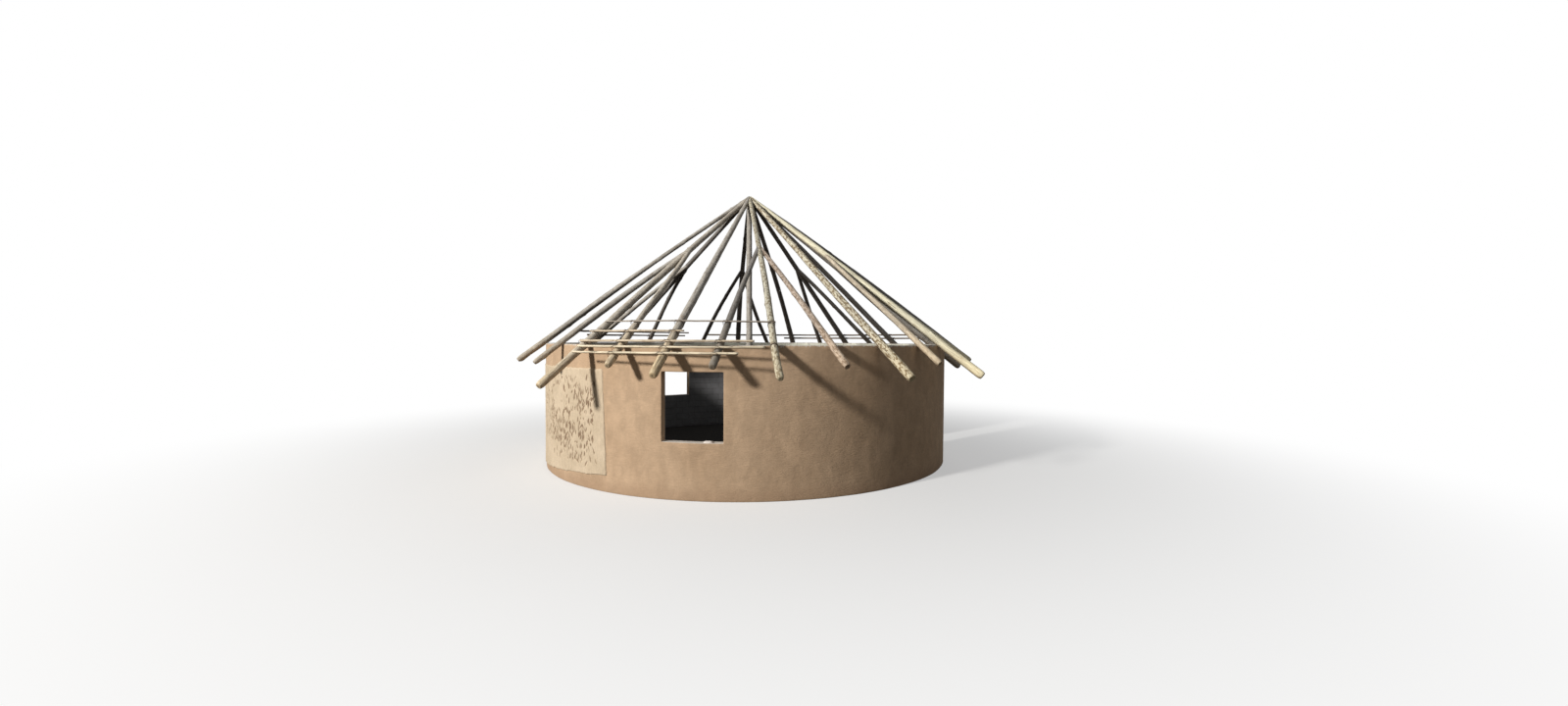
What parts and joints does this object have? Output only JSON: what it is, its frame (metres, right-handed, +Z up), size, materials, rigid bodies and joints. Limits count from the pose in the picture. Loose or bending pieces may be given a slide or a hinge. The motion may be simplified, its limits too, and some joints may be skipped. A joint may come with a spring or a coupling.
{
  "type": "rondavel hut with a bare roof frame",
  "caption": "Round hut under construction: a plastered circular wall with window and door openings, and a conical roof frame of leaning poles, not yet thatched.",
  "frame": {"origin": "on the hut's vertical axis, at the foot of the centre pole, level with the underside of the footing", "axes": "+Z up; -Y towards the front, the side with the front window; +X to the right seen from the front"},
  "size_m": [10.922, 11.1612, 6.4083],
  "materials": {
    "footing": "rough earth and cement render",
    "wall_plaster": "smooth tan plaster, float marks",
    "fresh_plaster": "rough pale scratch coat",
    "weathered_pole": "weathered grey peeled pole",
    "fresh_pole": "fresh peeled pole",
    "batten_wood": "pale thin poles"
  },
  "bodies": {
    "root": {"footing_front_right": "footing", "footing_back_right": "footing", "footing_back_left": "footing", "footing_front_left": "footing", "wall_front_centre": "wall_plaster", "wall_front_right": "wall_plaster", "wall_right": "wall_plaster", "wall_back_right": "wall_plaster", "wall_back_centre": "wall_plaster", "wall_back_left": "wall_plaster", "wall_left_back": "wall_plaster", "wall_left": "wall_plaster", "wall_left_front": "wall_plaster", "wall_front_left": "wall_plaster", "front_window_breast": "wall_plaster", "front_window_head": "wall_plaster", "back_window_breast": "wall_plaster", "back_window_head": "wall_plaster", "doorway_head": "wall_plaster", "fresh_plaster_coat": "fresh_plaster", "centre_pole": "weathered_pole", "fork_rafters_1": "weathered_pole", "fork_rafters_2": "fresh_pole", "fork_rafters_3": "weathered_pole", "fork_rafters_4": "weathered_pole", "fork_rafters_5": "weathered_pole", "fork_rafters_6": "weathered_pole", "fork_rafters_7": "weathered_pole", "fork_rafters_8": "weathered_pole", "plain_rafter_1": "weathered_pole", "plain_rafter_2": "weathered_pole", "plain_rafter_3": "weathered_pole", "plain_rafter_4": "weathered_pole", "plain_rafter_5": "weathered_pole", "plain_rafter_6": "weathered_pole", "plain_rafter_7": "weathered_pole", "plain_rafter_8": "weathered_pole", "battens_front": "batten_wood", "battens_right": "batten_wood", "battens_left": "batten_wood"}
  },
  "joints": []
}
